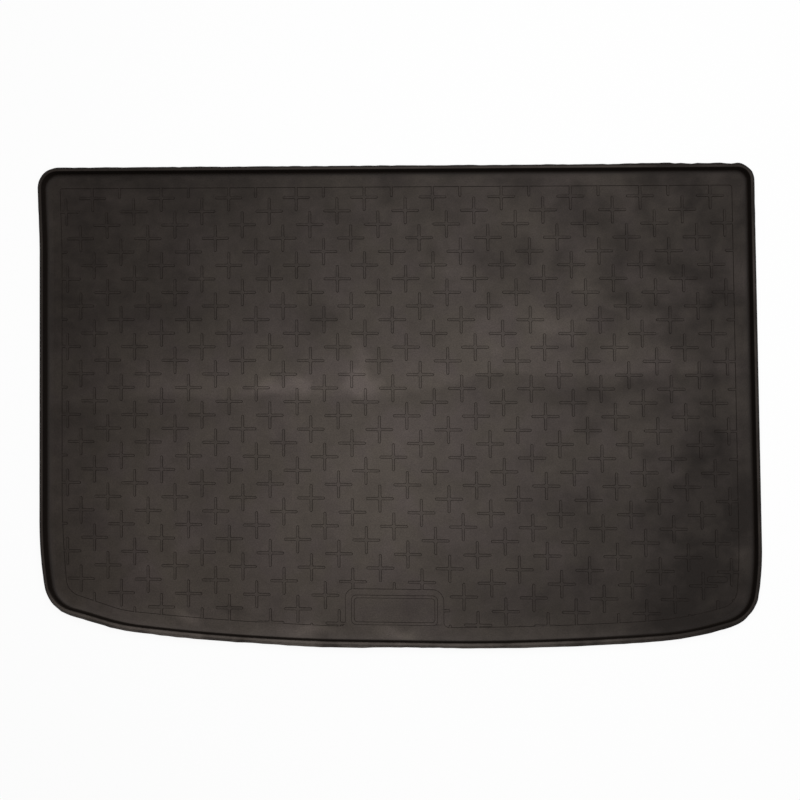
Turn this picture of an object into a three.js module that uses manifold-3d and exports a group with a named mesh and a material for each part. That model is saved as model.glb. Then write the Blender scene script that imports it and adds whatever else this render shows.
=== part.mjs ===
// Car boot liner: a shallow moulded rubber tray with an upstanding lip and a field of plus-shaped ribs.
// Millimetres. X runs across the car, +Y towards the rear seats, -Y to the bowed boot-opening edge, +Z up.
// The origin is on the flat underside, at the middle of the tray's outline.
import * as THREE from "three";
import { mergeGeometries, mergeVertices } from "three/addons/utils/BufferGeometryUtils.js";
import Module from "manifold-3d";

const wasm = await Module();
wasm.setup();

// Overall size
const HALF_WIDTH = 515.5;
const REAR_Y = 348;
const FRONT_Y = -348;
const HEIGHT = 20;

// Thicknesses of the floor
const BORDER_TOP = 3.2;
const FIELD_DEPTH = 1;
const FIELD_FLOOR = BORDER_TOP - FIELD_DEPTH;

// The lip's section, as [inset from the outer edge, height], from the underside up and over to the floor
const LIP_SECTION = [
  [5.4, 0],
  [3.4, 1.4],
  [2.2, HEIGHT - 5.6],
  [0, HEIGHT - 3.8],
  [0, HEIGHT - 1.4],
  [1.4, HEIGHT],
  [5.0, HEIGHT],
  [5.9, HEIGHT - 0.9],
  [7.0, BORDER_TOP + 1.7],
  [8.6, BORDER_TOP],
];

// Each half of the bowed front, as tangent arcs from the middle outwards: radii, and the headings in degrees
// at which they end. The first arc, the bow, takes the radius that makes the half width come out.
const LIP_FRONT = {
  left: { bowEnd: 6.07, turn: 284, turnEnd: 15.53, straight: 51.9, corner: 58.4, cornerEnd: 81, side: 599 },
  right: { bowEnd: 5, turn: 407, turnEnd: 17.23, straight: 14.4, corner: 59, cornerEnd: 80.4, side: 422 },
};
const LIP_REAR_RADIUS = { left: 32, right: 29 };

// The step line that bounds the recessed field, from the lip's outer edge
const SIDE_MARGIN = 27.9;
const REAR_MARGIN = 27.3;
const FRONT_MARGIN = 30.4;
const FIELD_HALF_WIDTH = HALF_WIDTH - SIDE_MARGIN;
const FIELD_REAR_Y = REAR_Y - REAR_MARGIN;
const FIELD_FRONT_Y = FRONT_Y + FRONT_MARGIN;
const FIELD_FRONT = {
  left: { bowEnd: 5.16, turn: 150, turnEnd: 17.56, straight: 53.7, corner: 25, cornerEnd: 84.5, side: 1400 },
  right: { bowEnd: 4.36, turn: 487, turnEnd: 17.33, straight: 1.3, corner: 27.5, cornerEnd: 84.3, side: 749 },
};
const FIELD_REAR_RADIUS = { left: 2, right: 4 };

// Plus-shaped ribs, on a slanted square grid of knight's moves of one module
const MODULE = 20;
const GRID_X = -22.5;
const GRID_Y = 66;
const GRID_COUNT = 20; // far enough each way to cover the field
const RIB_REACH = 20;
const RIB_FOOT = 4.2;
const RIB_HEIGHT = 0.95;
const RIB_SINK = 0.3;

// The panel bay: a tongue of border level that reaches into the field, with a raised frame on it
const FRAME_WIDTH = 124.8;
const FRAME_DEPTH = 43;
const FRAME_BAND = 4.5;
const FRAME_RADIUS = 7;
const FRAME_HEIGHT = 0.9;
const PANEL_X = -1.5;
const PANEL_Y = FIELD_FRONT_Y + 0.6 + FRAME_DEPTH / 2;
const BAY_SURROUND = 8.9;
const BAY_WIDTH = FRAME_WIDTH + 2 * BAY_SURROUND;
const BAY_TOP = PANEL_Y + FRAME_DEPTH / 2 + BAY_SURROUND;
const BAY_RADIUS = { left: 13, right: 17 };
const BAY_FLARE = 7;

// The small oval pad near the front right corner
const OVAL_LENGTH = 29.3;
const OVAL_WIDTH = 9.1;
const OVAL_HEIGHT = 0.6;
const OVAL_X = FIELD_HALF_WIDTH - 14.6 - OVAL_LENGTH / 2;
const OVAL_Y = FIELD_FRONT_Y + 72.1;

const SINK = 0.5; // how far a raised shape starts below the surface it stands on
const DEG = Math.PI / 180;
const RIGHT_ANGLE = 90;

// Points of an arc about a centre, from one angle to another in degrees, with or without its first point.
function arcPoints(cx, cy, radius, from, to, count, keepFirst) {
  const curve = new THREE.ArcCurve(cx, cy, radius, from * DEG, to * DEG, to < from);
  return curve.getPoints(count).slice(keepFirst ? 0 : 1);
}

// The bow's radius, from what the other arcs and the straight leave of the half width.
function bowRadius(front, halfWidth) {
  const bow = Math.sin(front.bowEnd * DEG);
  const turn = Math.sin(front.turnEnd * DEG);
  const corner = Math.sin(front.cornerEnd * DEG);
  const straight = front.straight * Math.cos(front.turnEnd * DEG);
  const rest = front.turn * (turn - bow) + straight + front.corner * (corner - turn) + front.side * (1 - corner);
  return (halfWidth - rest) / bow;
}

// One half of the bowed front, drawn as a right-hand half: from the middle, round the corner, to the side.
function frontHalf(shape, side, inset) {
  const front = shape.front[side];
  const steps = shape.steps;
  const points = [];
  let at = new THREE.Vector2(0, shape.frontY + inset);
  let heading = 0;
  const arc = (radius, end, count) => {
    const cx = at.x - radius * Math.sin(heading * DEG);
    const cy = at.y + radius * Math.cos(heading * DEG);
    points.push(...arcPoints(cx, cy, radius, heading - RIGHT_ANGLE, end - RIGHT_ANGLE, count, false));
    at = points[points.length - 1];
    heading = end;
  };
  arc(bowRadius(front, shape.halfWidth) - inset, front.bowEnd, steps.bow);
  arc(front.turn - inset, front.turnEnd, steps.turn);
  const along = new THREE.Vector2(Math.cos(heading * DEG), Math.sin(heading * DEG));
  at = at.clone().addScaledVector(along, front.straight);
  points.push(at);
  arc(front.corner - inset, front.cornerEnd, steps.corner);
  arc(front.side - inset, RIGHT_ANGLE, steps.side);
  return points;
}

// A rear corner of a right-hand half, from the side to the rear edge.
function rearCorner(shape, side, inset) {
  const radius = shape.rearRadius[side] - inset;
  const cx = shape.halfWidth - inset - radius;
  const cy = shape.rearY - inset - radius;
  return arcPoints(cx, cy, radius, 0, 90, shape.steps.rear, true);
}

// A whole outline, anticlockwise from the front middle. Every inset gives the same number of points.
function outline(shape, inset) {
  const half = (side) => [...frontHalf(shape, side, inset), ...rearCorner(shape, side, inset)];
  const left = half("left").map((p) => new THREE.Vector2(-p.x, p.y));
  return [new THREE.Vector2(0, shape.frontY + inset), ...half("right"), ...left.reverse()];
}

const LIP = {
  halfWidth: HALF_WIDTH,
  rearY: REAR_Y,
  frontY: FRONT_Y,
  front: LIP_FRONT,
  rearRadius: LIP_REAR_RADIUS,
  steps: { bow: 3, turn: 2, corner: 6, side: 2, rear: 5 },
};
const FIELD = {
  halfWidth: FIELD_HALF_WIDTH,
  rearY: FIELD_REAR_Y,
  frontY: FIELD_FRONT_Y,
  front: FIELD_FRONT,
  rearRadius: FIELD_REAR_RADIUS,
  steps: { bow: 3, turn: 2, corner: 4, side: 1, rear: 2 },
};

// A geometry from bare corner coordinates and triangles.
function geometryOf(positions, faces) {
  const geometry = new THREE.BufferGeometry();
  geometry.setAttribute("position", new THREE.Float32BufferAttribute(positions, 3));
  geometry.setIndex(faces);
  return geometry;
}

// A closed geometry as a solid that can be joined and cut.
function solidOf(geometry) {
  const bare = geometry.clone();
  bare.deleteAttribute("normal");
  bare.deleteAttribute("uv");
  const merged = mergeVertices(bare, 1e-4);
  return new wasm.Manifold(
    new wasm.Mesh({
      numProp: 3,
      vertProperties: new Float32Array(merged.attributes.position.array),
      triVerts: new Uint32Array(merged.index.array),
    }),
  );
}

// A closed surface over a stack of rings with equal point counts, capped by its first and last ring.
function loft(rings) {
  const count = rings[0].points.length;
  const positions = rings.flatMap((ring) => ring.points.flatMap((p) => [p.x, p.y, ring.z]));
  const faces = [];
  for (let r = 0; r < rings.length - 1; r++)
    for (let k = 0; k < count; k++) {
      const a = r * count + k;
      const b = r * count + ((k + 1) % count);
      faces.push(a, b, b + count, a, b + count, a + count);
    }
  const cap = (points, start, up) => {
    for (const [a, b, c] of THREE.ShapeUtils.triangulateShape(points, []))
      faces.push(start + a, start + (up ? b : c), start + (up ? c : b));
  };
  cap(rings[0].points, 0, false);
  cap(rings[rings.length - 1].points, (rings.length - 1) * count, true);
  return geometryOf(positions, faces);
}

// A flat outline pulled up between two heights, with a hole through it if one is given.
function slab(points, low, high, hole) {
  const shape = new THREE.Shape(points);
  if (hole) shape.holes.push(new THREE.Path(hole));
  return new THREE.ExtrudeGeometry(shape, { depth: high - low, bevelEnabled: false }).translate(0, 0, low);
}

// A rectangle with rounded corners about a middle point.
function roundedRect(cx, cy, width, depth, radius, count) {
  const u = width / 2 - radius;
  const v = depth / 2 - radius;
  return [
    ...arcPoints(cx + u, cy - v, radius, -90, 0, count, true),
    ...arcPoints(cx + u, cy + v, radius, 0, 90, count, true),
    ...arcPoints(cx - u, cy + v, radius, 90, 180, count, true),
    ...arcPoints(cx - u, cy - v, radius, 180, 270, count, true),
  ];
}

// One hipped plus rib at the origin: a ridge along both arms, with slopes that run on a little below the floor.
function plusRib() {
  const spread = (RIB_SINK * RIB_FOOT) / 2 / RIB_HEIGHT;
  const side = RIB_FOOT / 2 + spread;
  const tip = RIB_REACH + spread;
  const ridge = RIB_REACH - RIB_FOOT / 2;
  const low = FIELD_FLOOR - RIB_SINK;
  const high = FIELD_FLOOR + RIB_HEIGHT;
  const foot = [];
  const top = [];
  const faces = [];
  const middle = 16;
  for (let arm = 0; arm < 4; arm++) {
    const place = (u, v) => new THREE.Vector2(u, v).rotateAround(new THREE.Vector2(), arm * 90 * DEG);
    for (const p of [place(side, -side), place(tip, -side), place(tip, side)]) foot.push(p.x, p.y, low);
    const peak = place(ridge, 0);
    top.push(peak.x, peak.y, high);
    const corner = 3 * arm;
    const next = (corner + 3) % 12;
    const end = 12 + arm;
    faces.push(corner, corner + 1, end, corner, end, middle);
    faces.push(corner + 1, corner + 2, end);
    faces.push(corner + 2, next, middle, corner + 2, middle, end);
    faces.push(corner, corner + 2, corner + 1, corner, next, corner + 2);
  }
  faces.push(0, 6, 3, 0, 9, 6);
  return geometryOf([...foot, ...top, 0, 0, high], faces);
}

// Every rib whose arms can reach into the field, as one geometry of separate closed pieces.
function ribField() {
  const rib = plusRib();
  const ribs = [];
  for (let i = -GRID_COUNT; i <= GRID_COUNT; i++)
    for (let j = -GRID_COUNT; j <= GRID_COUNT; j++) {
      const x = GRID_X + MODULE * (2 * i + j);
      const y = GRID_Y + MODULE * (i - 2 * j);
      const inWidth = Math.abs(x) < FIELD_HALF_WIDTH + RIB_REACH;
      const inDepth = y < FIELD_REAR_Y + RIB_REACH && y > FIELD_FRONT_Y - RIB_REACH;
      if (inWidth && inDepth) ribs.push(rib.clone().translate(x, y, 0));
    }
  return mergeGeometries(ribs);
}

// The tongue of border level around the panel frame, flared where it meets the border.
function bayOutline() {
  const left = PANEL_X - BAY_WIDTH / 2;
  const right = PANEL_X + BAY_WIDTH / 2;
  const foot = FIELD_FRONT_Y + 1;
  const flare = BAY_FLARE;
  return [
    new THREE.Vector2(left - flare, foot - flare),
    new THREE.Vector2(right + flare, foot - flare),
    ...arcPoints(right + flare, foot + flare, flare, 270, 180, 3, true),
    ...arcPoints(right - BAY_RADIUS.right, BAY_TOP - BAY_RADIUS.right, BAY_RADIUS.right, 0, 90, 4, true),
    ...arcPoints(left + BAY_RADIUS.left, BAY_TOP - BAY_RADIUS.left, BAY_RADIUS.left, 90, 180, 4, true),
    ...arcPoints(left - flare, foot + flare, flare, 0, -90, 3, true),
  ];
}

// The raised band of the panel frame.
function panelFrame() {
  const innerWidth = FRAME_WIDTH - 2 * FRAME_BAND;
  const innerDepth = FRAME_DEPTH - 2 * FRAME_BAND;
  const outer = roundedRect(PANEL_X, PANEL_Y, FRAME_WIDTH, FRAME_DEPTH, FRAME_RADIUS, 4);
  const inner = roundedRect(PANEL_X, PANEL_Y, innerWidth, innerDepth, FRAME_RADIUS - FRAME_BAND, 3);
  return slab(outer, BORDER_TOP - SINK, BORDER_TOP + FRAME_HEIGHT, inner);
}

// The tray, less the field's hollow, from which the bay, the ribs and the oval pad are kept back.
function linerSolid() {
  const tray = solidOf(loft(LIP_SECTION.map(([inset, z]) => ({ points: outline(LIP, inset), z }))));
  const oval = roundedRect(OVAL_X, OVAL_Y, OVAL_LENGTH, OVAL_WIDTH, OVAL_WIDTH / 2 - 0.01, 4);
  const hollow = solidOf(slab(outline(FIELD, 0), FIELD_FLOOR, BORDER_TOP + SINK))
    .subtract(solidOf(slab(bayOutline(), FIELD_FLOOR - SINK, BORDER_TOP + 2 * SINK)))
    .subtract(solidOf(ribField()))
    .subtract(solidOf(slab(oval, FIELD_FLOOR - SINK, FIELD_FLOOR + OVAL_HEIGHT)));
  return tray.subtract(hollow).add(solidOf(panelFrame()));
}

// A solid as a named mesh.
function meshOf(solid, name, material) {
  const { vertProperties, triVerts } = solid.getMesh();
  const made = new THREE.Mesh(geometryOf([...vertProperties], [...triVerts]), material);
  made.name = name;
  return made;
}

const rubber = new THREE.MeshStandardMaterial({ color: 0x3a3532, roughness: 0.7, metalness: 0 });
const bootLiner = new THREE.Group();
bootLiner.add(meshOf(linerSolid(), "liner", rubber));

export default bootLiner;
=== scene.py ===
"""Car boot liner: one moulded rubber tray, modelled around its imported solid, with a stage."""

import math

import bmesh
import bpy
from bpy.props import FloatProperty, FloatVectorProperty, IntProperty, PointerProperty
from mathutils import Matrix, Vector, noise


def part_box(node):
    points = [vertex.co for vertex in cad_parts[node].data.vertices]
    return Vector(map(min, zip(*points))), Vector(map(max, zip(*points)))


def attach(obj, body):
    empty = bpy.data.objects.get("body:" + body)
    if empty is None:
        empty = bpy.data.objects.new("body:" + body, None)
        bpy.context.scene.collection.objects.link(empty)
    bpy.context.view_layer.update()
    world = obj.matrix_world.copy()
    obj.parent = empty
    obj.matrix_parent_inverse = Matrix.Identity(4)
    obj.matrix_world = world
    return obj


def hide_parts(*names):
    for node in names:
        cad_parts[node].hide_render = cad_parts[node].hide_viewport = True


bl_info = {
    "name": "Car boot liner",
    "version": (1, 0, 0),
    "blender": (4, 5, 0),
    "location": "View3D > Sidebar > Boot liner",
    "description": "Models a moulded rubber boot liner with a ribbed floor, and a plain stage for it",
    "category": "Object",
}

MM = 0.001

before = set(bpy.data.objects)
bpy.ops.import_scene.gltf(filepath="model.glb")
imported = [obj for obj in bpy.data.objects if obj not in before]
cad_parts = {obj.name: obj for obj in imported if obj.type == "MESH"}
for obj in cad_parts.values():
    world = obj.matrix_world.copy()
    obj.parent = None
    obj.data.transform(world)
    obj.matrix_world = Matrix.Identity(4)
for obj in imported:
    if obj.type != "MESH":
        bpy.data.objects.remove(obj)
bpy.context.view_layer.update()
LINER_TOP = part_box("liner")[1].z

# Lengths and places below are in millimetres from the middle of the tray's underside.
# The lip's section, as (inset from its widest line, height): from that line up over the rounded
# rim, down the inner wall and through a broad fillet to the border.
LIP_UPPER_SECTION = (
    (0.0, 16.5), (0.15, 17.2), (0.4, 17.7), (2.05, 19.3), (2.45, 19.8), (2.9, 20.0),
    (5.45, 20.0), (5.78, 19.88), (6.02, 19.55), (6.18, 19.1), (6.26, 18.5), (6.75, 7.0),
    (7.02, 5.9), (7.55, 5.05), (8.4, 4.4), (9.7, 3.93), (11.4, 3.58), (13.6, 3.33), (16.5, 3.2),
)
# The same from the widest line down under the rim, down the outer wall and round to the flat underside.
LIP_LOWER_SECTION = (
    (0.0, 16.5), (0.06, 16.0), (0.3, 15.5), (0.9, 15.0), (1.7, 14.6), (2.3, 13.8), (3.2, 2.0),
    (3.5, 1.0), (4.0, 0.4), (4.8, 0.08), (5.6, 0.0),
)

# Each half of the bowed front, as a flat run in the middle and tangent arcs outwards from it, with
# the headings at which the arcs end in degrees.
LIP_FRONT = {
    "left": {"flat": 80, "bow_end": 6.07, "turn": 284, "turn_end": 15.53, "straight": 51.9,
             "corner": 54, "corner_end": 81, "side": 599},
    "right": {"flat": 70, "bow_end": 5.3, "turn": 407, "turn_end": 17.23, "straight": 14.4,
              "corner": 59, "corner_end": 80.4, "side": 422},
}
LIP_REAR_RADIUS = {"left": 30, "right": 24}
FIELD_FRONT = {
    "left": {"flat": 0, "bow_end": 5.16, "turn": 150, "turn_end": 17.56, "straight": 53.7,
             "corner": 25, "corner_end": 84.5, "side": 1400},
    "right": {"flat": 0, "bow_end": 4.36, "turn": 487, "turn_end": 17.33, "straight": 1.3,
              "corner": 27.5, "corner_end": 84.3, "side": 749},
}
FIELD_REAR_RADIUS = {"left": 2, "right": 4}
BAY_RADIUS = {"left": 13, "right": 17}

# The straight runs of the two outlines are drawn in pieces of these lengths
LIP_PIECE = 8.0
FIELD_PIECE = 50.0
# The rim was trimmed by hand: its edge wanders by this much along the front and rear, by a share
# of it along the sides, and by more at the rear right, in waves of the length given
TRIM = 0.9
TRIM_SIDE_SHARE = 0.12
TRIM_REAR_RIGHT = 1.5
TRIM_WAVE = 11.0
TRIM_HEIGHTS = (15.2, 17.9)
TRIM_FRONT_REAR = (200.0, 330.0)
TRIM_REAR_RIGHT_FROM = (250.0, 380.0)
TRIM_REAR_RIGHT_TO = (512.0, 478.0)
TRIM_REAR_EDGE = (322.0, 346.0)
# It bulges out a little left of the middle of the front
TRIM_BULGE = 1.5
TRIM_BULGE_FROM = (-185.0, -110.0)
TRIM_BULGE_TO = (10.0, -60.0)

# Where things stand on the tray: a rib's middle, the frame and the oval pad. The frame stands a
# little behind the line of the step in front of it
RIB_GRID = (-21.5, 65.3)
RIB_ROWS = 20
FRAME_MIDDLE_X = -1.5
FRAME_GAP = 2.6
OVAL_MIDDLE = (458.35, -245.5)

# How far raised forms reach down into what carries them, and cutting ones past what they cut
RIB_SINK = 0.3
FRAME_SINK = 0.5
OVAL_SINK = 0.4
CUT_PAST = 0.4
# The rounded top edge of each slope takes this much of its height, and these shares of its run
STEP_EDGE = 0.05
RIB_EDGE = 0.13
FRAME_EDGE = 0.15
OVAL_EDGE = 0.12
EDGE_RUN = 0.25
OVAL_EDGE_RUN = 0.3
STEP_EDGE_RUN = 0.2
# The step's rounded foot is as high as its top edge, and takes this share of the run
STEP_FOOT_RUN = 0.1
OVAL_HEIGHT = 0.87
# The ribs' tops lie this far below the border, and the floor within the frame this far above it
RIB_SET_BACK = 0.22
FRAME_FLOOR_RISE = 0.05
# The frame's inner corners are less round than its outer ones, by this share of its band
INNER_RADIUS_LOSS = 0.6

# Corners nearer than this are merged: where an outline meets itself, where a ring has no width,
# and on the finished mesh
OUTLINE_MERGE = 0.02
RING_MERGE = 0.001
PIECE_MERGE = 0.002
# An inset can't be nothing, so a straight rise goes in by this much
LEAST_INSET = 0.002
# Level faces, by the upward share of their normals, keep crisp edges, and so do turns of this
# many degrees
LEVEL_NORMAL = 0.9999
CRISP_TURN = 50.0

# How the limp tray lies: its rear edge has crept a little to the left of its front edge, most of
# all along the left side, and the rear left corner has spread. Slopes are millimetres per millimetre.
CREEP_X_PER_Y = -0.0106
CREEP_Y_PER_X = -0.00325
STRETCH_X = 0.9986
STRETCH_Y = 0.9983
LEFT_CREEP_X_PER_Y = -0.0045
LEFT_SIDE = (-300.0, -450.0)
REAR_LEFT_SPREAD = 3.0
REAR_LEFT_CORNER = (220.0, 330.0)
# The front lip leans in by this much at its top, from the ends of its bow forwards
FRONT_LEAN = 1.8
FRONT_BOW = (-250.0, -300.0)
# The front lip is thicker inwards by up to this much, least in its middle and nothing at the corners
FRONT_THICKER = 1.7
FRONT_MIDDLE_SHARE = 0.4
FRONT_FLANK = (60.0, 250.0)
FRONT_CORNER = (510.0, 450.0)
# The thickening eases in over the first heights here. Between the second ones only the outer wall
# has corners, and they stay where they are
LIP_FOOT_RISE = (3.2, 5.0)
OUTER_WALL = (7.5, 18.0)
# The frame stands nearer the middle than the first of these and behind the second, and stays too
FRAME_CLEAR = (75.0, -325.0)

# Where wiping and wear have left more or less bloom, and where sheen and glints are painted, as
# soft ovals in millimetres, degrees and shares of the bloom: middle, half length, half width, turn
# from the X axis, strength. The middle of the tray is painted palest, in a broad one that fades out
# towards the corners: a painted sheen
PAINTED_SHEEN_OVAL = ((-45.0, -75.0), 700.0, 480.0, 43.0)
WEAR_AND_GLINT_PATCHES = (
    ((-310.0, 170.0), 200.0, 150.0, 5.0, -0.08),
    ((-350.0, -170.0), 130.0, 230.0, 0.0, 0.22),
    ((-15.0, -150.0), 100.0, 190.0, -10.0, 0.16),
    ((190.0, 120.0), 210.0, 80.0, 15.0, 0.16),
    ((-117.0, 118.0), 60.0, 45.0, 30.0, -0.22),
    ((310.0, 25.0), 170.0, 26.0, 3.0, -0.20),
    ((385.0, 148.0), 120.0, 30.0, 8.0, -0.24),
    ((440.0, -220.0), 160.0, 260.0, -15.0, -0.12),
    ((-176.0, 24.0), 32.0, 20.0, 15.0, 0.55),
    ((-137.0, 32.0), 26.0, 24.0, 0.0, 0.60),
    ((-44.0, 31.0), 28.0, 24.0, 0.0, 0.80),
    ((-50.0, 66.0), 15.0, 48.0, 12.0, 0.30),
    ((235.0, 112.0), 70.0, 36.0, 20.0, 0.26),
    ((187.0, 226.0), 28.0, 24.0, 20.0, -0.16),
    # The pale ones of the last four, along the front border, are painted glints of sheen
    ((-303.0, -311.0), 36.0, 15.0, -12.0, 0.60),
    ((-222.0, -301.0), 44.0, 15.0, -6.0, -0.25),
    ((-125.0, -320.0), 64.0, 14.0, -3.0, 0.70),
    ((14.0, -328.0), 50.0, 13.0, 0.0, 0.70),
)
# A crease runs across the tray, and just behind it a pale band is painted as the highlight where
# the tray tilts towards the lamp. It starts this far behind the middle at the left, and moves back
# along a stretch to the right of it
CREASE_Y = 15.0
CREASE_SHIFT = 32.0
CREASE_BEND = (-20.0, 160.0)
CREASE_ENDS = (-470.0, -300.0, 340.0, 620.0)
CREASE_EDGE = 14.0
CREASE_FADE = 95.0
CREASE_STRENGTH = 0.25
CREASE_UNEVEN = 0.3

# Noise in the looks of the rubber: the sizes from one cloud, smear, patch or grain to the next.
# Noise of the first size bends the outlines of the soft ovals, within half of the reach given
BEND_SIZE = 90.9
BEND_REACH = 80.0
CLOUD_SIZE = 222.2
CLOUD_SHARE = 0.35
SMEAR_SIZE = 526.3
SMEAR_FLATNESS = 6.5
SMEAR_TURN = 3.44
SMEAR_SHARE = 0.4
MOTTLE_SIZE = 15.38
MOTTLE_SHARE = 0.25
# The patches grow stronger towards the rear right, over this run of X and Y added up
PATCH_SIZE = 58.82
PATCH_RUN = (50.0, 450.0)
PATCH_SHARES = (0.4, 1.0)
# The sums of all these at which the bloom is nothing and at which it is full
BLOOM_RANGE = (0.37, 2.017)
# Which upward share of the surface's normal leaves it bare, and which bears all the bloom: over
# the tray, and at its front, where the bloom reaches further up the fillet at the lip's foot. What
# is left bare, the walls, slopes and fillets, is painted darker as shade
BARE_BELOW = (0.95, 0.80)
FULL_ABOVE = (0.9985, 0.965)
# The ribs' tops, which get less of the bloom and so are darker than the floor around them
RIB_TOP_HEIGHT = 2.9
RIB_TOP_SPREAD = 0.2
RIB_TOP_LESS_BLOOM = 0.13
ROSY_SIZE = 71.4
ROSY_RANGE = (0.42, 0.62)
# The front is paler over this run of Y, which slants a little across the tray: partly rubbed
# rubber, and partly a painted highlight on the lip's top and a painted sheen on the border. All of
# it above the height given is paler, and a share of the border
FRONT_PALE_RUN = (-290.0, -350.0)
FRONT_PALE_SLANT = 0.05
LIP_PALE_HEIGHT = 16.0
BORDER_SHEEN_SHARE = 0.45
SCUFF_SIZE = 41.7
SCUFF_RANGE = (0.25, 0.6)
# Mould grain is 0.5 mm across, and is drawn this much across so that it shows
GRAIN_SIZE = 1.1765
GRAIN_HEIGHT = 0.06
GRAIN_STRENGTH = 0.6
SPECKLE_RANGE = (0.25, 0.75)
SPECKLE = 0.37
WAVE_SIZE = 142.9
WAVE_HEIGHT = 1.2
BARE_ROUGHNESS = 0.62
BLOOM_ROUGHNESS = 0.485
RUBBER_IOR = 1.5
RUBBER_SPECULAR = 0.1

# The stage: one soft lamp above the rear right, over white paper in a dim room
PAPER_DROP = 0.3
PAPER_REACH = 6000.0
PAPER_COLOUR = 0xF3F3F3
PAPER_GLOW = 0.91
WHITE = 0xFFFFFF
ROOM_LIGHT = 0.03
LAMP_PLACE = (300.0, 270.0, 2000.0)
LAMP_TARGET = (220.0, 200.0, 0.0)
LAMP_SIZE = (2300.0, 2000.0)
LAMP_WATTS = 56.0
# The camera: place in millimetres, turn in degrees, focal length in pixels of an 800-pixel image
CAMERA_PLACE = (86.01, -52.40, 1571.12)
CAMERA_TURN = (2.2183, 2.8158, 0.1528)
CAMERA_FOCAL = 1084.89
CAMERA_RANGE = 50000.0
IMAGE_WIDTH = 800.0
SENSOR_WIDTH = 36.0


def srgb(number):
    """An sRGB hex number as linear RGBA."""
    colour = []
    for shift in (16, 8, 0):
        value = ((number >> shift) & 255) / 255
        colour.append(value / 12.92 if value <= 0.04045 else ((value + 0.055) / 1.055) ** 2.4)
    return (*colour, 1.0)


def length(name, description, default):
    """A length property, given in millimetres."""
    return FloatProperty(
        name=name, description=description, default=default * MM, min=0.0, unit="LENGTH")


def colour(name, description, number):
    """A colour property, given as an sRGB hex number."""
    return FloatVectorProperty(
        name=name, description=description, default=srgb(number), subtype="COLOR", size=4,
        min=0.0, max=1.0)


class LinerSizes(bpy.types.PropertyGroup):
    """Sizes of the tray, its recessed field and what is raised on it"""

    half_width: length("Half width", "From the middle to the lip's outer edge", 518.0)
    rear_y: length("Rear", "From the middle to the rear edge", 348.2)
    front_y: length("Front", "From the middle to the front of the bow", 346.7)
    field_half_width: length("Field half width", "From the middle to the step at the sides", 489.2)
    field_rear_y: length("Field rear", "From the middle to the step at the rear", 319.8)
    field_front_y: length("Field front", "From the middle to the step at the bow", 318.9)
    field_depth: length("Field depth", "How far the ribbed field lies below the border", 1.1)
    slope: length("Slope", "Run of the sloped sides of the step, the ribs and the frame", 0.62)
    rib_module: length("Rib module", "Half of the knight's move on which the ribs stand", 20.0)
    rib_reach: length("Rib reach", "From a rib's middle to the tip of each arm", 20.2)
    rib_width: length("Rib width", "Width of an arm at its foot", 4.1)
    rib_fillet: length("Rib fillet", "Radius in the four inner corners of a rib", 1.5)
    frame_width: length("Frame width", "Width of the raised frame", 124.8)
    frame_depth: length("Frame depth", "Depth of the raised frame, front to back", 43.0)
    frame_band: length("Frame band", "Width of the raised frame's band", 4.6)
    frame_radius: length("Frame radius", "Radius of the raised frame's corners", 7.0)
    frame_height: length("Frame height", "How far the frame stands above the border", 0.9)
    bay_surround: length("Bay surround", "Flat width around the raised frame", 8.9)
    bay_flare: length("Bay flare", "Radius where the bay meets the border", 7.0)
    oval_length: length("Oval length", "Length of the small oval pad", 29.3)
    oval_width: length("Oval width", "Width of the small oval pad", 9.1)
    arc_steps: IntProperty(
        name="Arc steps", description="Segments in each quarter turn of the outline",
        default=12, min=4, max=48)


class LinerLooks(bpy.types.PropertyGroup):
    """Colours of the rubber"""

    # The walls and slopes show this colour because the bloom is kept off them, which paints them darker
    # as shade
    bare: colour("Bare rubber", "The rubber where nothing has rubbed it, as on the walls", 0x1E1916)
    bloom: colour("Bloomed rubber", "The rubber where wiping and wear have left a bloom", 0x554D46)
    tinge: colour("Tinged bloom", "The faintly rosy bloom that shows in patches", 0x564D49)
    # On top of the front lip this colour is partly rubbed rubber and partly a painted highlight, and on
    # the front border a painted sheen
    rubbed: colour("Rubbed rubber", "The paler rubber on top of the front lip", 0x564F4A)


class OutlinePen:
    """Draws a run of edges from a start point, with the spin and extrude operators."""

    def __init__(self, bm, start, heading=0.0):
        self.bm = bm
        self.tip = bm.verts.new(start)
        self.heading = heading

    def line(self, distance, piece=1.0):
        """Draws a straight run, in pieces of about the length given in metres."""
        pieces = max(round(distance / piece), 1)
        step = Vector((math.cos(self.heading), math.sin(self.heading), 0.0)) * distance / pieces
        for _ in range(pieces):
            made = bmesh.ops.extrude_vert_indiv(self.bm, verts=[self.tip])
            self.tip = made["verts"][0]
            bmesh.ops.translate(self.bm, verts=[self.tip], vec=step)

    def arc(self, radius, turn, steps):
        """Turns left for a positive turn in radians, and right for a negative one."""
        side = math.copysign(1.0, turn)
        left = Vector((-math.sin(self.heading), math.cos(self.heading), 0.0))
        made = bmesh.ops.spin(
            self.bm, geom=[self.tip], cent=self.tip.co + left * radius * side,
            axis=(0.0, 0.0, 1.0), angle=turn, steps=steps, use_duplicate=False)
        self.tip = next(v for v in made["geom_last"] if isinstance(v, bmesh.types.BMVert))
        self.heading += turn

    def arc_to(self, radius, heading, steps):
        self.arc(radius, heading - self.heading, steps)


def bow_radius(front, half_width):
    """The bow's radius, from what the flat run, the straight and the other arcs leave of the half."""
    bow = math.sin(math.radians(front["bow_end"]))
    turn = math.sin(math.radians(front["turn_end"]))
    corner = math.sin(math.radians(front["corner_end"]))
    rest = front["turn"] * MM * (turn - bow)
    rest += front["straight"] * MM * math.cos(math.radians(front["turn_end"]))
    rest += front["corner"] * MM * (corner - turn)
    rest += front["side"] * MM * (1.0 - corner)
    return (half_width - front["flat"] * MM - rest) / bow


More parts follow.
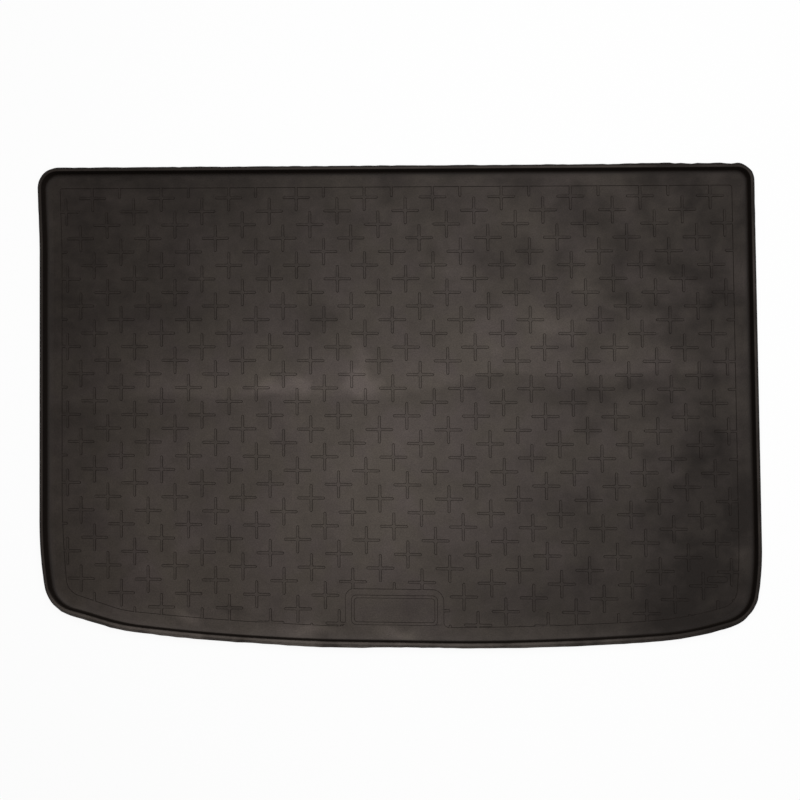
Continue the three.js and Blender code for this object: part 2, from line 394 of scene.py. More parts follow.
def draw_bowed_half(pen, front, half_width, rear_y, rear_radius, steps, piece):
    """From the bow round the front corner, up the side and round the rear corner to the middle."""
    pen.arc_to(bow_radius(front, half_width), math.radians(front["bow_end"]), 2 * steps)
    pen.arc_to(front["turn"] * MM, math.radians(front["turn_end"]), steps // 2)
    pen.line(front["straight"] * MM, piece)
    pen.arc_to(front["corner"] * MM, math.radians(front["corner_end"]), steps)
    pen.arc_to(front["side"] * MM, math.radians(90), steps)
    pen.line(rear_y - rear_radius * MM - pen.tip.co.y, piece)
    pen.arc_to(rear_radius * MM, math.radians(180), steps)
    pen.line(pen.tip.co.x, piece)


def two_sided_outline(bm, draw_half):
    """Draws the right half, and the left half as one mirrored, joined in a closed run of edges."""
    draw_half("right")
    right = set(bm.verts)
    draw_half("left")
    left = [v for v in bm.verts if v not in right]
    bmesh.ops.scale(bm, verts=left, vec=(-1.0, 1.0, 1.0))
    bmesh.ops.remove_doubles(bm, verts=bm.verts[:], dist=OUTLINE_MERGE * MM)
    return upward_face(bm)


def upward_face(bm):
    """One face over the closed run of edges that the bmesh holds, facing up."""
    face = bmesh.ops.contextual_create(bm, geom=bm.edges[:])["faces"][0]
    face.normal_update()
    if face.normal.z < 0.0:
        bmesh.ops.reverse_faces(bm, faces=[face])
    return face


def step_in(bm, face, steps):
    """Insets a face by (inset, rise) steps in millimetres, each of which leaves a ring of quads."""
    for inset, rise in steps:
        bmesh.ops.inset_individual(
            bm, faces=[face], thickness=(inset or LEAST_INSET) * MM, depth=rise * MM,
            use_even_offset=True)


def section_steps(section, side):
    """A section's points as the steps between them, outwards from the face for side 1 or -1."""
    return [(b[0] - a[0], side * (b[1] - a[1])) for a, b in zip(section, section[1:])]


def copy_facing_down(bm, face):
    """A copy of a face, turned over, to close or build the underside."""
    copied = bmesh.ops.duplicate(bm, geom=[face])["geom"]
    under = next(g for g in copied if isinstance(g, bmesh.types.BMFace))
    bmesh.ops.reverse_faces(bm, faces=[under])
    under.normal_update()
    return under


def solid_from_face(bm, face, steps):
    """Closes a face below and steps it up into a solid."""
    copy_facing_down(bm, face)
    step_in(bm, face, steps)
    bmesh.ops.remove_doubles(bm, verts=bm.verts[:], dist=RING_MERGE * MM)


def mesh_object(bm, name):
    """A bmesh as a new object at the origin, in the scene."""
    bmesh.ops.recalc_face_normals(bm, faces=bm.faces[:])
    mesh = bpy.data.meshes.new(name)
    bm.to_mesh(mesh)
    bm.free()
    made = bpy.data.objects.new(name, mesh)
    bpy.context.scene.collection.objects.link(made)
    return made


def cut_or_join(target, tool, operation):
    """Applies one boolean of the target with a tool object, and removes the tool."""
    modifier = target.modifiers.new(operation.lower(), "BOOLEAN")
    modifier.object = tool
    modifier.operation = operation
    modifier.solver = "MANIFOLD"
    settled = target.evaluated_get(bpy.context.evaluated_depsgraph_get())
    mesh = bpy.data.meshes.new_from_object(settled)
    target.modifiers.clear()
    plain = target.data
    target.data = mesh
    bpy.data.meshes.remove(plain)
    tool_mesh = tool.data
    bpy.data.objects.remove(tool)
    bpy.data.meshes.remove(tool_mesh)


def tray_solid(sizes):
    """The tray with its lip all round and a plain floor at border height."""
    bm = bmesh.new()
    height = LIP_UPPER_SECTION[0][1] * MM

    def draw_half(side):
        pen = OutlinePen(bm, (0.0, -sizes.front_y, height))
        pen.line(LIP_FRONT[side]["flat"] * MM, LIP_PIECE * MM)
        draw_bowed_half(
            pen, LIP_FRONT[side], sizes.half_width, sizes.rear_y, LIP_REAR_RADIUS[side],
            sizes.arc_steps, LIP_PIECE * MM)

    upper = two_sided_outline(bm, draw_half)
    lower = copy_facing_down(bm, upper)
    step_in(bm, upper, section_steps(LIP_UPPER_SECTION, 1.0))
    step_in(bm, lower, section_steps(LIP_LOWER_SECTION, -1.0))
    bmesh.ops.remove_doubles(bm, verts=bm.verts[:], dist=RING_MERGE * MM)
    return mesh_object(bm, "tray")


def border_height():
    """The height of the border's surface, in metres."""
    return LIP_UPPER_SECTION[-1][1] * MM


def frame_middle_y(sizes):
    """The middle of the frame, which stands just behind the line of the step in front of it."""
    return -sizes.field_front_y + FRAME_GAP * MM + sizes.frame_depth / 2


def field_solid(sizes):
    """The hollow of the recessed field as a solid, with the bay at the front kept out of it."""
    bay_half = sizes.frame_width / 2 + sizes.bay_surround
    bay_top = frame_middle_y(sizes) + sizes.frame_depth / 2 + sizes.bay_surround
    bm = bmesh.new()

    def draw_half(side):
        offset = FRAME_MIDDLE_X * MM * (1.0 if side == "right" else -1.0)
        radius = BAY_RADIUS[side] * MM
        bow = bow_radius(FIELD_FRONT[side], sizes.field_half_width)
        heading = math.asin((offset + bay_half + sizes.bay_flare) / bow)
        bow_y = -sizes.field_front_y + bow * (1.0 - math.cos(heading))
        pen = OutlinePen(bm, (offset, bay_top, border_height() - sizes.field_depth))
        pen.line(bay_half - radius)
        pen.arc(radius, math.radians(-90), sizes.arc_steps)
        pen.line(pen.tip.co.y - bow_y - sizes.bay_flare * math.cos(heading))
        pen.arc_to(sizes.bay_flare, heading, sizes.arc_steps // 2)
        draw_bowed_half(
            pen, FIELD_FRONT[side], sizes.field_half_width, sizes.field_rear_y,
            FIELD_REAR_RADIUS[side], sizes.arc_steps, FIELD_PIECE * MM)

    face = two_sided_outline(bm, draw_half)
    depth = sizes.field_depth / MM
    run = sizes.slope / MM
    # The hollow widens as it rises, and goes on a little past the border's surface
    solid_from_face(
        bm, face,
        [(-STEP_FOOT_RUN * run, STEP_EDGE),
         (-(1.0 - STEP_FOOT_RUN - STEP_EDGE_RUN) * run, depth - 2 * STEP_EDGE),
         (-STEP_EDGE_RUN * run, STEP_EDGE), (-0.05, CUT_PAST)])
    return mesh_object(bm, "field")


def rib_foot(bm, sizes):
    """The foot of one plus rib at the origin, with round tips and filleted inner corners."""
    half = sizes.rib_width / 2
    run = sizes.rib_reach - half - (half + sizes.rib_fillet)
    pen = OutlinePen(bm, (half + sizes.rib_fillet, -half, 0.0))
    for _ in range(4):
        pen.line(run)
        pen.arc(half, math.radians(180), 4)
        pen.line(run)
        pen.arc(sizes.rib_fillet, math.radians(-90), 2)
    bmesh.ops.remove_doubles(bm, verts=bm.verts[:], dist=OUTLINE_MERGE * MM)
    return upward_face(bm)


def rib_places(sizes):
    """The middles of the ribs whose arms can reach into the field, as knight's moves apart."""
    reach = sizes.rib_reach
    for i in range(-RIB_ROWS, RIB_ROWS + 1):
        for j in range(-RIB_ROWS, RIB_ROWS + 1):
            x = RIB_GRID[0] * MM + sizes.rib_module * (2 * i + j)
            y = RIB_GRID[1] * MM + sizes.rib_module * (i - 2 * j)
            if abs(x) > sizes.field_half_width + reach:
                continue
            if -sizes.field_front_y - reach < y < sizes.field_rear_y + reach:
                yield x, y


def ribs_solid(sizes):
    """All the ribs, from a little below the field's floor to just under the border's height."""
    bm = bmesh.new()
    foot = rib_foot(bm, sizes)
    run = sizes.slope / MM
    height = sizes.field_depth / MM - RIB_SET_BACK
    solid_from_face(
        bm, foot,
        [(0.02, RIB_SINK), ((1.0 - EDGE_RUN) * run, height - RIB_EDGE),
         (EDGE_RUN * run, RIB_EDGE)])
    one = bm.verts[:] + bm.edges[:] + bm.faces[:]
    first = bm.verts[:]
    base = border_height() - sizes.field_depth - RIB_SINK * MM
    for x, y in rib_places(sizes):
        copied = bmesh.ops.duplicate(bm, geom=one)["geom"]
        corners = [g for g in copied if isinstance(g, bmesh.types.BMVert)]
        bmesh.ops.translate(bm, verts=corners, vec=(x, y, base))
    bmesh.ops.delete(bm, geom=first, context="VERTS")
    return mesh_object(bm, "ribs")


def rounded_rectangle(bm, middle, width, depth, radius, steps):
    """A rectangle with rounded corners as one face, drawn anticlockwise from its front side."""
    x, y, z = middle
    pen = OutlinePen(bm, (x - width / 2 + radius, y - depth / 2, z))
    for side in (width, depth, width, depth):
        if side > 2 * radius + OUTLINE_MERGE * MM:
            pen.line(side - 2 * radius)
        pen.arc(radius, math.radians(90), steps)
    bmesh.ops.remove_doubles(bm, verts=bm.verts[:], dist=OUTLINE_MERGE * MM)
    return upward_face(bm)


def frame_solid(sizes):
    """The raised band on the bay: an outer rounded rectangle less an inner one."""
    middle = (FRAME_MIDDLE_X * MM, frame_middle_y(sizes))
    height = sizes.frame_height / MM
    run = sizes.slope / MM
    band = sizes.frame_band
    steps = sizes.arc_steps // 2
    bm = bmesh.new()
    face = rounded_rectangle(
        bm, (*middle, border_height() - FRAME_SINK * MM), sizes.frame_width, sizes.frame_depth,
        sizes.frame_radius, steps)
    solid_from_face(
        bm, face,
        [(0.0, FRAME_SINK), ((1.0 - EDGE_RUN) * run, height - FRAME_EDGE),
         (EDGE_RUN * run, FRAME_EDGE)])
    outer = mesh_object(bm, "frame_outer")
    bm = bmesh.new()
    face = rounded_rectangle(
        bm, (*middle, border_height() + FRAME_FLOOR_RISE * MM), sizes.frame_width - 2 * band,
        sizes.frame_depth - 2 * band, sizes.frame_radius - INNER_RADIUS_LOSS * band, steps)
    solid_from_face(
        bm, face,
        [(-(1.0 - EDGE_RUN) * run, height - FRAME_EDGE - FRAME_FLOOR_RISE),
         (-EDGE_RUN * run, FRAME_EDGE), (-0.1, CUT_PAST)])
    cut_or_join(outer, mesh_object(bm, "frame_inner"), "DIFFERENCE")
    return outer


def oval_solid(sizes):
    """The small oval pad on the field's floor."""
    middle = (OVAL_MIDDLE[0] * MM, OVAL_MIDDLE[1] * MM)
    base = border_height() - sizes.field_depth - OVAL_SINK * MM
    run = sizes.slope / MM
    bm = bmesh.new()
    face = rounded_rectangle(
        bm, (*middle, base), sizes.oval_length, sizes.oval_width, sizes.oval_width / 2,
        sizes.arc_steps // 2)
    solid_from_face(
        bm, face,
        [(0.0, OVAL_SINK), ((1.0 - OVAL_EDGE_RUN) * run, OVAL_HEIGHT - OVAL_EDGE),
         (OVAL_EDGE_RUN * run, OVAL_EDGE)])
    return mesh_object(bm, "oval")


def share_of(value, run):
    """How far a length in metres has come along a run in millimetres, eased from 0 to 1."""
    share = min(max((value / MM - run[0]) / (run[1] - run[0]), 0.0), 1.0)
    return share * share * (3.0 - 2.0 * share)


def front_thickness(x, y, z):
    """How far a corner of the front lip's inner side is moved inwards, in metres."""
    on_bay = abs(x) < FRAME_CLEAR[0] * MM and y > FRAME_CLEAR[1] * MM
    on_outer_wall = OUTER_WALL[0] * MM < z < OUTER_WALL[1] * MM
    if on_bay or on_outer_wall:
        return 0.0
    flank = FRONT_MIDDLE_SHARE + (1.0 - FRONT_MIDDLE_SHARE) * share_of(abs(x), FRONT_FLANK)
    run = flank * share_of(abs(x), FRONT_CORNER) * share_of(y, FRONT_BOW)
    return FRONT_THICKER * MM * run * share_of(z, LIP_FOOT_RISE)


def lie_limp(bm):
    """Lets the tray creep out of square, as the limp thing does where it lies."""
    for corner in bm.verts:
        x, y, z = corner.co
        left = share_of(x, LEFT_SIDE)
        creep = CREEP_X_PER_Y + LEFT_CREEP_X_PER_Y * left
        spread = REAR_LEFT_SPREAD * MM * left * share_of(y, REAR_LEFT_CORNER)
        rise = max(z - border_height(), 0.0) / (LINER_TOP - border_height())
        inwards = FRONT_LEAN * MM * rise * share_of(y, FRONT_BOW) + front_thickness(x, y, z)
        corner.co = (
            STRETCH_X * x + creep * y - spread, STRETCH_Y * y + CREEP_Y_PER_X * x + inwards, z)


def trim_rim(bm):
    """Moves the rim's widest line out and in unevenly, where it was trimmed."""
    bm.normal_update()
    low, high = (height * MM for height in TRIM_HEIGHTS)
    for corner in [v for v in bm.verts if low < v.co.z < high]:
        x, y, _ = corner.co
        out = Vector((corner.normal.x, corner.normal.y, 0.0)).normalized()
        share = TRIM_SIDE_SHARE + (1.0 - TRIM_SIDE_SHARE) * share_of(abs(y), TRIM_FRONT_REAR)
        # Noise of two sizes about a middle of one half, kept between 0 and 1
        wave = Vector((x, y, 0.0)) / (TRIM_WAVE * MM)
        uneven = 0.5 + 0.7 * noise.noise(wave) + 0.3 * noise.noise(2.3 * wave)
        uneven = min(max(uneven, 0.0), 1.0)
        rim = TRIM * share * (uneven - 0.5)
        if y > 0.0:
            flash = share_of(x, TRIM_REAR_RIGHT_FROM) * share_of(x, TRIM_REAR_RIGHT_TO)
            rim += TRIM_REAR_RIGHT * flash * share_of(y, TRIM_REAR_EDGE) * uneven
        else:
            rim += TRIM_BULGE * share_of(x, TRIM_BULGE_FROM) * share_of(x, TRIM_BULGE_TO)
        corner.co += out * rim * MM


def finish_surface(mesh):
    """Shades the rounded edges smooth and keeps the flat surfaces flat."""
    bm = bmesh.new()
    bm.from_mesh(mesh)
    bmesh.ops.remove_doubles(bm, verts=bm.verts[:], dist=PIECE_MERGE * MM)
    trim_rim(bm)
    lie_limp(bm)
    for face in bm.faces:
        face.smooth = True
        face.normal_update()
    for edge in bm.edges:
        level = any(abs(face.normal.z) > LEVEL_NORMAL for face in edge.link_faces)
        edge.smooth = not level and edge.calc_face_angle(0.0) < math.radians(CRISP_TURN)
    bm.to_mesh(mesh)
    bm.free()


def add_node(tree, kind, values=None, links=None):
    """Adds a node, sets its values by attribute or socket, and links its sockets to outputs."""
    node = tree.nodes.new(kind)
    for name, value in (values or {}).items():
        if isinstance(name, str) and name in node.bl_rna.properties:
            setattr(node, name, value)
        else:
            node.inputs[name].default_value = value
    for name, source in (links or {}).items():
        tree.links.new(source, node.inputs[name])
    return node


def node_material(name):
    """A new material with an empty node tree."""
    material = bpy.data.materials.new(name)
    material.use_nodes = True
    material.node_tree.nodes.clear()
    return material, material.node_tree


def soft_oval(tree, place, middle, half_length, half_width, turn):
    """A share of 1 at an oval's middle and 0 at its edge, from millimetres and degrees."""
    oval = add_node(
        tree, "ShaderNodeMapping",
        {"vector_type": "TEXTURE", "Location": (middle[0] * MM, middle[1] * MM, 0.0),
         "Rotation": (0.0, 0.0, math.radians(turn)),
         "Scale": (half_length * MM, half_width * MM, 1.0)}, {"Vector": place})
    return add_node(
        tree, "ShaderNodeTexGradient", {"gradient_type": "SPHERICAL"},
        {"Vector": oval.outputs["Vector"]}).outputs["Fac"]


def bent_place(tree, place):
    """The place on the tray moved about by noise, so that what is drawn with it has uneven edges."""
    bend = add_node(
        tree, "ShaderNodeTexNoise", {"Scale": 1.0 / (BEND_SIZE * MM), "Detail": 2.0},
        {"Vector": place})
    centred = add_node(
        tree, "ShaderNodeVectorMath", {"operation": "SUBTRACT", 1: (0.5, 0.5, 0.5)},
        {0: bend.outputs["Color"]})
    return add_node(
        tree, "ShaderNodeVectorMath",
        {"operation": "MULTIPLY_ADD", 1: (BEND_REACH * MM, BEND_REACH * MM, 0.0)},
        {0: centred.outputs["Vector"], 2: place}).outputs["Vector"]


def sheen_and_wear_amount(tree, place, bent):
    """The broad oval of painted sheen, with the patches of more or less bloom and the painted glints
    added to it.
    """
    total = soft_oval(tree, place, *PAINTED_SHEEN_OVAL)
    for *oval, strength in WEAR_AND_GLINT_PATCHES:
        patch = add_node(
            tree, "ShaderNodeMapRange", {"interpolation_type": "SMOOTHSTEP", "To Max": strength},
            {"Value": soft_oval(tree, bent, *oval)})
        total = add_node(
            tree, "ShaderNodeMath", {"operation": "ADD"},
            {0: total, 1: patch.outputs["Result"]}).outputs["Value"]
    return total


def crease_highlight_band(tree, place, bent):
    """The painted highlight just behind the crease, with a sharp front edge and a soft rear one."""
    # The crease is straighter than the patches' edges are. A mix node's vector sockets are
    # numbers 4 and 5, and its vector output number 1
    bowed = add_node(
        tree, "ShaderNodeMix", {"data_type": "VECTOR", 0: CREASE_UNEVEN}, {4: place, 5: bent})
    along = add_node(tree, "ShaderNodeSeparateXYZ", None, {"Vector": bowed.outputs[1]})
    shift = add_node(
        tree, "ShaderNodeMapRange",
        {"interpolation_type": "SMOOTHSTEP", "From Min": CREASE_BEND[0] * MM,
         "From Max": CREASE_BEND[1] * MM}, {"Value": along.outputs["X"]})
    behind = add_node(
        tree, "ShaderNodeMath", {"operation": "MULTIPLY_ADD", 1: -CREASE_SHIFT * MM},
        {0: shift.outputs["Result"], 2: along.outputs["Y"]})
    left_end, left_full, right_full, right_end = CREASE_ENDS
    runs = (
        (behind.outputs["Value"], CREASE_Y - CREASE_EDGE / 2, CREASE_Y + CREASE_EDGE / 2),
        (behind.outputs["Value"], CREASE_Y + CREASE_FADE, CREASE_Y),
        (along.outputs["X"], left_end, left_full),
        (along.outputs["X"], right_end, right_full))
    eased = [
        add_node(
            tree, "ShaderNodeMapRange",
            {"interpolation_type": "SMOOTHSTEP", "From Min": start * MM, "From Max": end * MM},
            {"Value": source}).outputs["Result"]
        for source, start, end in runs]
    band = eased[0]
    for share in eased[1:]:
        band = add_node(
            tree, "ShaderNodeMath", {"operation": "MULTIPLY"}, {0: band, 1: share}).outputs["Value"]
    return band


def faint_patches(tree, place):
    """Soft patches, faint over most of the tray, which stand out at its rear right."""
    patch = add_node(
        tree, "ShaderNodeTexNoise",
        {"Scale": 1.0 / (PATCH_SIZE * MM), "Detail": 2.0, "Roughness": 0.5, "Distortion": 0.4},
        {"Vector": place})
    centred = add_node(
        tree, "ShaderNodeMath", {"operation": "SUBTRACT", 1: 0.5}, {0: patch.outputs["Fac"]})
    corner = add_node(
        tree, "ShaderNodeVectorMath", {"operation": "DOT_PRODUCT", 1: (1.0, 1.0, 0.0)}, {0: place})
    contrast = add_node(
        tree, "ShaderNodeMapRange",
        {"interpolation_type": "SMOOTHSTEP", "From Min": PATCH_RUN[0] * MM,
         "From Max": PATCH_RUN[1] * MM, "To Min": PATCH_SHARES[0], "To Max": PATCH_SHARES[1]},
        {"Value": corner.outputs["Value"]})
    return add_node(
        tree, "ShaderNodeMath", {"operation": "MULTIPLY"},
        {0: centred.outputs["Value"], 1: contrast.outputs["Result"]}).outputs["Value"]


def bloom_and_sheen_amount(tree, place):
    """How far the bloom, with the painted sheen, glints and highlight in it, covers the rubber, from 0
    to 1.
    """
    bent = bent_place(tree, place)
    sheen_and_wear = add_node(
        tree, "ShaderNodeMath", {"operation": "MULTIPLY_ADD", 1: CREASE_STRENGTH},
        {0: crease_highlight_band(tree, place, bent), 2: sheen_and_wear_amount(tree, place, bent)})
    total = add_node(
        tree, "ShaderNodeMath", {"operation": "ADD"},
        {0: sheen_and_wear.outputs["Value"], 1: faint_patches(tree, place)}).outputs["Value"]
    # Broad clouds, long faint smears that wiping has left across the tray, and a fine mottle
    across = add_node(
        tree, "ShaderNodeMapping",
        {"Scale": (1.0, SMEAR_FLATNESS, 1.0), "Rotation": (0.0, 0.0, math.radians(SMEAR_TURN))},
        {"Vector": place})
    layers = (
        (place, CLOUD_SIZE, CLOUD_SHARE, {"Detail": 4.0, "Roughness": 0.55, "Distortion": 0.9}),
        (across.outputs["Vector"], SMEAR_SIZE, SMEAR_SHARE,
         {"Detail": 5.0, "Roughness": 0.6, "Distortion": 0.3}),
        (place, MOTTLE_SIZE, MOTTLE_SHARE, {"Detail": 1.0}))
    for where, size, share, values in layers:
        layer = add_node(
            tree, "ShaderNodeTexNoise", {"Scale": 1.0 / (size * MM), **values}, {"Vector": where})
        total = add_node(
            tree, "ShaderNodeMath", {"operation": "MULTIPLY_ADD", 1: share},
            {0: layer.outputs["Fac"], 2: total}).outputs["Value"]
    return add_node(
        tree, "ShaderNodeMapRange", {"From Min": BLOOM_RANGE[0], "From Max": BLOOM_RANGE[1]},
        {"Value": total}).outputs["Result"]


def front_share(tree, axes):
    """From 0 over most of the tray to 1 at the front lip, further back at the left than at the right."""
    forward = add_node(
        tree, "ShaderNodeMath", {"operation": "MULTIPLY_ADD", 1: FRONT_PALE_SLANT},
        {0: axes.outputs["X"], 2: axes.outputs["Y"]})
    return add_node(
        tree, "ShaderNodeMapRange",
        {"From Min": FRONT_PALE_RUN[0] * MM, "From Max": FRONT_PALE_RUN[1] * MM},
        {"Value": forward.outputs["Value"]}).outputs["Result"]


def lying_share(tree, front):
    """From 0 on the walls to 1 on what faces up: what it keeps bare is painted darker, as shade."""
    facing = add_node(
        tree, "ShaderNodeSeparateXYZ", None,
        {"Vector": add_node(tree, "ShaderNodeNewGeometry").outputs["Normal"]})
    bare_below, full_above = (
        add_node(
            tree, "ShaderNodeMapRange", {"To Min": elsewhere, "To Max": at_front},
            {"Value": front}).outputs["Result"]
        for elsewhere, at_front in (BARE_BELOW, FULL_ABOVE))
    return add_node(
        tree, "ShaderNodeMapRange", None,
        {"Value": facing.outputs["Z"], "From Min": bare_below,
         "From Max": full_above}).outputs["Result"]


def bloom_with_painted_shade(tree, axes, bloom, lying):
    """The bloom on what faces up, kept off the walls and slopes so that they are painted darker as
    shade, and less on the ribs' tops.
    """
    on_floor = add_node(
        tree, "ShaderNodeMath", {"operation": "MULTIPLY"}, {0: bloom, 1: lying})
    on_rib = add_node(
        tree, "ShaderNodeMath",
        {"operation": "COMPARE", 1: RIB_TOP_HEIGHT * MM, 2: RIB_TOP_SPREAD * MM},
        {0: axes.outputs["Z"]})
    less_on_rib_tops = add_node(
        tree, "ShaderNodeMath", {"operation": "MULTIPLY_ADD", 1: -RIB_TOP_LESS_BLOOM, 2: 1.0},
        {0: on_rib.outputs["Value"]})
    return add_node(
        tree, "ShaderNodeMath", {"operation": "MULTIPLY"},
        {0: on_floor.outputs["Value"], 1: less_on_rib_tops.outputs["Value"]}).outputs["Value"]


def rubbed_and_sheen_share(tree, place, axes, front, lying):
    """Where the front is paler in patches, less on the border: rubbed by sliding loads, with a painted
    highlight on the lip and a painted sheen on the border.
    """
    on_lip = add_node(
        tree, "ShaderNodeMath", {"operation": "GREATER_THAN", 1: LIP_PALE_HEIGHT * MM},
        {0: axes.outputs["Z"]})
    border_sheen = add_node(
        tree, "ShaderNodeMath", {"operation": "MULTIPLY", 1: BORDER_SHEEN_SHARE}, {0: lying})
    where = add_node(
        tree, "ShaderNodeMath", {"operation": "MAXIMUM"},
        {0: on_lip.outputs["Value"], 1: border_sheen.outputs["Value"]})
    scuff = add_node(
        tree, "ShaderNodeTexNoise",
        {"Scale": 1.0 / (SCUFF_SIZE * MM), "Detail": 3.0, "Roughness": 0.6}, {"Vector": place})
    scuffed = add_node(
        tree, "ShaderNodeMapRange", {"From Min": SCUFF_RANGE[0], "From Max": SCUFF_RANGE[1]},
        {"Value": scuff.outputs["Fac"]})
    share = front
    for other in (where.outputs["Value"], scuffed.outputs["Result"]):
        share = add_node(
            tree, "ShaderNodeMath", {"operation": "MULTIPLY"},
            {0: share, 1: other}).outputs["Value"]
    return share


def rosy_share(tree, place):
    """Where the bloom has a faintly rosy tinge, in patches."""
    hue = add_node(
        tree, "ShaderNodeTexNoise",
        {"Scale": 1.0 / (ROSY_SIZE * MM), "Detail": 2.0, "Roughness": 0.6}, {"Vector": place})
    return add_node(
        tree, "ShaderNodeMapRange", {"From Min": ROSY_RANGE[0], "From Max": ROSY_RANGE[1]},
        {"Value": hue.outputs["Fac"]}).outputs["Result"]


def uneven_surface(tree, place, grain):
    """The normals of rubber that doesn't lie quite flat, in slow waves, and has a mould grain."""
    waves = add_node(
        tree, "ShaderNodeTexNoise",
        {"Scale": 1.0 / (WAVE_SIZE * MM), "Detail": 2.0, "Roughness": 0.5}, {"Vector": place})
    slow = add_node(
        tree, "ShaderNodeBump", {"Strength": 1.0, "Distance": WAVE_HEIGHT * MM},
        {"Height": waves.outputs["Fac"]})
    return add_node(
        tree, "ShaderNodeBump", {"Strength": GRAIN_STRENGTH, "Distance": GRAIN_HEIGHT * MM},
        {"Height": grain, "Normal": slow.outputs["Normal"]}).outputs["Normal"]


def moulded_rubber(looks):
    """Moulded synthetic rubber: near-black brown and dull, with a cloudy bloom on what faces up, with
    painted sheen and highlights in it; the bare walls and slopes are painted shade.
    """
    material, tree = node_material("moulded_rubber")
    place = add_node(tree, "ShaderNodeTexCoord").outputs["Object"]
    axes = add_node(tree, "ShaderNodeSeparateXYZ", None, {"Vector": place})
    # The bloom's amount also holds the painted sheen, glints and highlight
    bloom = bloom_and_sheen_amount(tree, place)
    front = front_share(tree, axes)
    lying = lying_share(tree, front)
    # A mix node's colour sockets are numbers 6 and 7, and its colour output number 2
    bloomed = add_node(
        tree, "ShaderNodeMix", {"data_type": "RGBA", 6: looks.bloom, 7: looks.tinge},
        {0: rosy_share(tree, place)})
    tone = add_node(
        tree, "ShaderNodeMix", {"data_type": "RGBA", 6: looks.bare},
        {0: bloom_with_painted_shade(tree, axes, bloom, lying), 7: bloomed.outputs[2]})
    rubbed = add_node(
        tree, "ShaderNodeMix", {"data_type": "RGBA", 7: looks.rubbed},
        {0: rubbed_and_sheen_share(tree, place, axes, front, lying), 6: tone.outputs[2]})
    grain = add_node(
        tree, "ShaderNodeTexNoise",
        {"Scale": 1.0 / (GRAIN_SIZE * MM), "Detail": 2.0, "Roughness": 0.6}, {"Vector": place})
    speckle = add_node(
        tree, "ShaderNodeMapRange",
        {"From Min": SPECKLE_RANGE[0], "From Max": SPECKLE_RANGE[1], "To Min": 1.0 - SPECKLE,
         "To Max": 1.0 + SPECKLE},
        {"Value": grain.outputs["Fac"]})
    speckled = add_node(
        tree, "ShaderNodeVectorMath", {"operation": "SCALE"},
        {0: rubbed.outputs[2], "Scale": speckle.outputs["Result"]})
    # Wiped rubber has more sheen than bare rubber
    rough = add_node(
        tree, "ShaderNodeMapRange", {"To Min": BARE_ROUGHNESS, "To Max": BLOOM_ROUGHNESS},
        {"Value": bloom})
    shader = add_node(
        tree, "ShaderNodeBsdfPrincipled",
        {"IOR": RUBBER_IOR, "Specular IOR Level": RUBBER_SPECULAR},
        {"Base Color": speckled.outputs["Vector"], "Roughness": rough.outputs["Result"],
         "Normal": uneven_surface(tree, place, grain.outputs["Fac"])})
    add_node(tree, "ShaderNodeOutputMaterial", None, {"Surface": shader.outputs["BSDF"]})
    return material


class OBJECT_OT_boot_liner(bpy.types.Operator):
    """Models the moulded rubber tray with its lip, ribbed field, bare frame and oval pad"""

    bl_idname = "object.boot_liner"
    bl_label = "Add boot liner"

    def execute(self, context):
        sizes = context.scene.boot_liner_sizes
        hollow = field_solid(sizes)
        cut_or_join(hollow, ribs_solid(sizes), "DIFFERENCE")
        cut_or_join(hollow, oval_solid(sizes), "DIFFERENCE")
        liner = tray_solid(sizes)
        cut_or_join(liner, hollow, "DIFFERENCE")
        cut_or_join(liner, frame_solid(sizes), "UNION")
        liner.name = "moulded_liner"
        finish_surface(liner.data)
        liner.data.materials.clear()
        liner.data.materials.append(moulded_rubber(context.scene.boot_liner_looks))
        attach(liner, "root")
        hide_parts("liner")
        return {"FINISHED"}


def overhead_softbox(scene):
    """A soft rectangular lamp above the tray."""
    data = bpy.data.lights.new("overhead_softbox", "AREA")
    data.shape = "RECTANGLE"
    data.size, data.size_y = (value * MM for value in LAMP_SIZE)
    data.energy = LAMP_WATTS
    lamp = bpy.data.objects.new("overhead_softbox", data)
    scene.collection.objects.link(lamp)
    lamp.location = [value * MM for value in LAMP_PLACE]
    aim = Vector(LAMP_TARGET) - Vector(LAMP_PLACE)
    lamp.rotation_euler = aim.to_track_quat("-Z", "Y").to_euler()


def white_paper():
    """Matt white studio paper, which the camera sees as white with the tray's soft shadow on it."""
    material, tree = node_material("studio_paper")
    paper = add_node(tree, "ShaderNodeBsdfDiffuse", {"Color": srgb(PAPER_COLOUR)})
    glow = add_node(tree, "ShaderNodeEmission", {"Strength": 1.0})
    path = add_node(tree, "ShaderNodeLightPath")
    seen = add_node(
        tree, "ShaderNodeMath", {"operation": "MAXIMUM"},
        {0: path.outputs["Is Camera Ray"], 1: path.outputs["Is Glossy Ray"]})
    share = add_node(
        tree, "ShaderNodeMath", {"operation": "MULTIPLY", 1: PAPER_GLOW}, {0: seen.outputs["Value"]})
    mix = add_node(
        tree, "ShaderNodeMixShader", None,
        {0: share.outputs["Value"], 1: paper.outputs["BSDF"], 2: glow.outputs["Emission"]})
    # From below the paper is clear, so that the tray's underside can be looked at
    below = add_node(tree, "ShaderNodeNewGeometry").outputs["Backfacing"]
    clear = add_node(tree, "ShaderNodeBsdfTransparent")
    sheet = add_node(
        tree, "ShaderNodeMixShader", None,
        {0: below, 1: mix.outputs["Shader"], 2: clear.outputs["BSDF"]})
    add_node(tree, "ShaderNodeOutputMaterial", None, {"Surface": sheet.outputs["Shader"]})
    return material


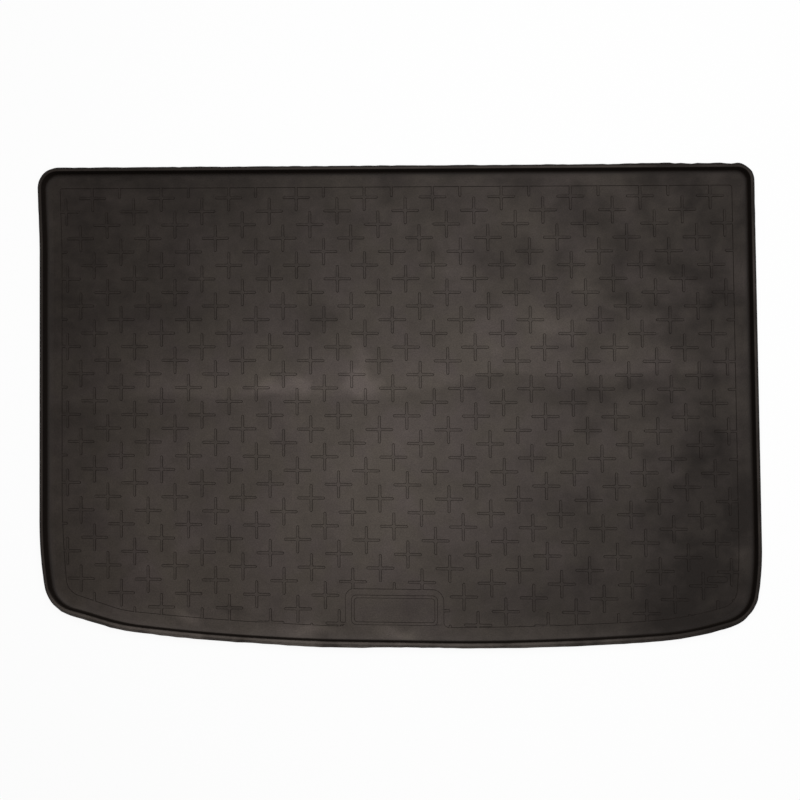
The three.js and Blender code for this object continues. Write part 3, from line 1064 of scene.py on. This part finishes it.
def studio_room(scene):
    """A dim room that the camera sees as white."""
    world = bpy.data.worlds.new("studio_room")
    world.use_nodes = True
    scene.world = world
    tree = world.node_tree
    tree.nodes.clear()
    room = add_node(
        tree, "ShaderNodeBackground", {"Color": srgb(WHITE), "Strength": ROOM_LIGHT})
    seen = add_node(tree, "ShaderNodeBackground", {"Color": srgb(WHITE), "Strength": 1.0})
    path = add_node(tree, "ShaderNodeLightPath")
    mix = add_node(
        tree, "ShaderNodeMixShader", None,
        {0: path.outputs["Is Camera Ray"], 1: room.outputs["Background"],
         2: seen.outputs["Background"]})
    add_node(tree, "ShaderNodeOutputWorld", None, {"Surface": mix.outputs["Shader"]})


def overhead_camera(scene):
    """The camera above the tray, tilted a little."""
    data = bpy.data.cameras.new("overhead_camera")
    data.sensor_width = SENSOR_WIDTH
    data.lens = CAMERA_FOCAL / IMAGE_WIDTH * SENSOR_WIDTH
    data.clip_end = CAMERA_RANGE * MM
    camera = bpy.data.objects.new("overhead_camera", data)
    scene.collection.objects.link(camera)
    camera.location = [value * MM for value in CAMERA_PLACE]
    camera.rotation_euler = [math.radians(value) for value in CAMERA_TURN]
    scene.camera = camera


class OBJECT_OT_boot_liner_stage(bpy.types.Operator):
    """Sets up the pale floor, the soft overhead light and the camera above the tray"""

    bl_idname = "object.boot_liner_stage"
    bl_label = "Add stage"

    def execute(self, context):
        bm = bmesh.new()
        bmesh.ops.create_grid(bm, x_segments=1, y_segments=1, size=PAPER_REACH * MM)
        bmesh.ops.translate(bm, verts=bm.verts[:], vec=(0.0, 0.0, -PAPER_DROP * MM))
        floor = mesh_object(bm, "studio_floor")
        floor.data.materials.append(white_paper())
        studio_room(context.scene)
        overhead_softbox(context.scene)
        overhead_camera(context.scene)
        context.scene.view_settings.view_transform = "Standard"
        return {"FINISHED"}


class VIEW3D_PT_boot_liner(bpy.types.Panel):
    """Sizes and looks of the boot liner, and the operators that make it"""

    bl_label = "Boot liner"
    bl_space_type = "VIEW_3D"
    bl_region_type = "UI"
    bl_category = "Boot liner"

    def draw(self, context):
        for group in (context.scene.boot_liner_sizes, context.scene.boot_liner_looks):
            box = self.layout.box()
            for name in group.bl_rna.properties.keys():
                if name not in {"rna_type", "name"}:
                    box.prop(group, name)
        self.layout.operator("object.boot_liner")
        self.layout.operator("object.boot_liner_stage")


CLASSES = (
    LinerSizes, LinerLooks, OBJECT_OT_boot_liner, OBJECT_OT_boot_liner_stage,
    VIEW3D_PT_boot_liner)


def register():
    for kind in CLASSES:
        bpy.utils.register_class(kind)
    bpy.types.Scene.boot_liner_sizes = PointerProperty(type=LinerSizes)
    bpy.types.Scene.boot_liner_looks = PointerProperty(type=LinerLooks)


def unregister():
    del bpy.types.Scene.boot_liner_looks
    del bpy.types.Scene.boot_liner_sizes
    for kind in reversed(CLASSES):
        bpy.utils.unregister_class(kind)


def main():
    """Makes the liner and its stage with the default sizes."""
    register()
    bpy.ops.object.boot_liner()
    bpy.ops.object.boot_liner_stage()
    bpy.context.view_layer.update()


if __name__ == "__main__":
    main()
